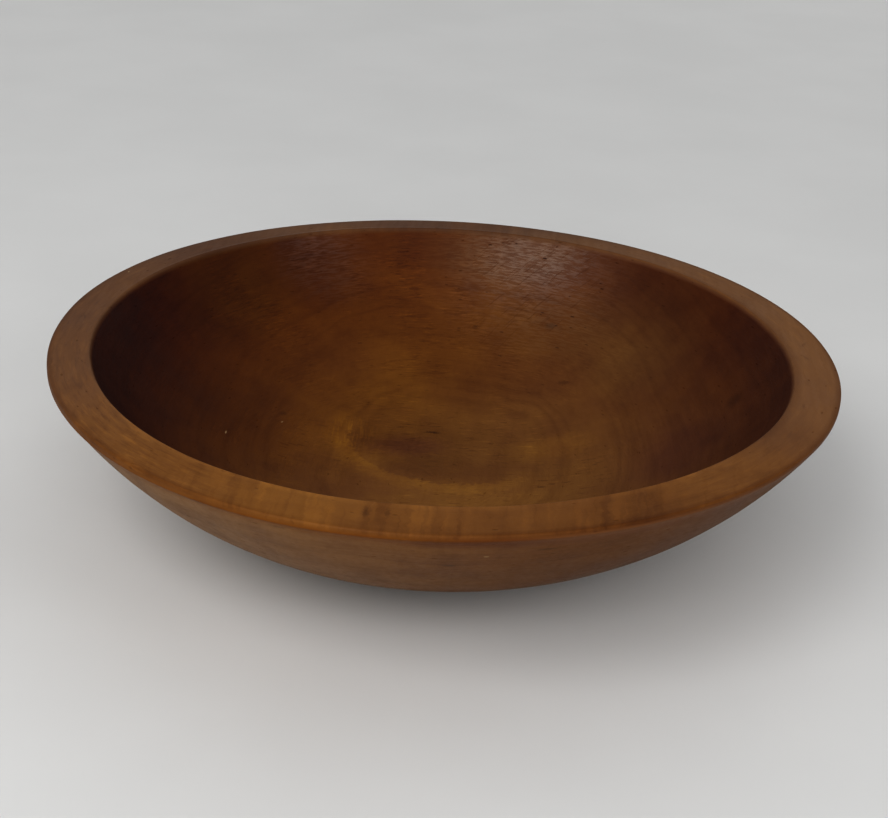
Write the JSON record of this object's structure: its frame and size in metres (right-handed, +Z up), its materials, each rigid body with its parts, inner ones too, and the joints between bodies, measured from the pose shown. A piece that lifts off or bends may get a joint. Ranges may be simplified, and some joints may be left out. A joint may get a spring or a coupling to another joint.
{
  "type": "wooden bowl",
  "caption": "Wide, shallow turned wooden bowl with a flat rim, a small lip around its outer edge and a low foot ring, for holding fruit, salad or loose things.",
  "frame": {"origin": "centre of the foot ring, on the plane that the bowl stands on", "axes": "+Z up along the bowl's axis, +X to the right and +Y to the back as the picture sees it"},
  "size_m": [0.3, 0.3, 0.07],
  "materials": {
    "stained_wood": "brown stain under a worn, satin oil finish"
  },
  "bodies": {
    "root": {"bowl": "stained_wood"}
  },
  "joints": []
}
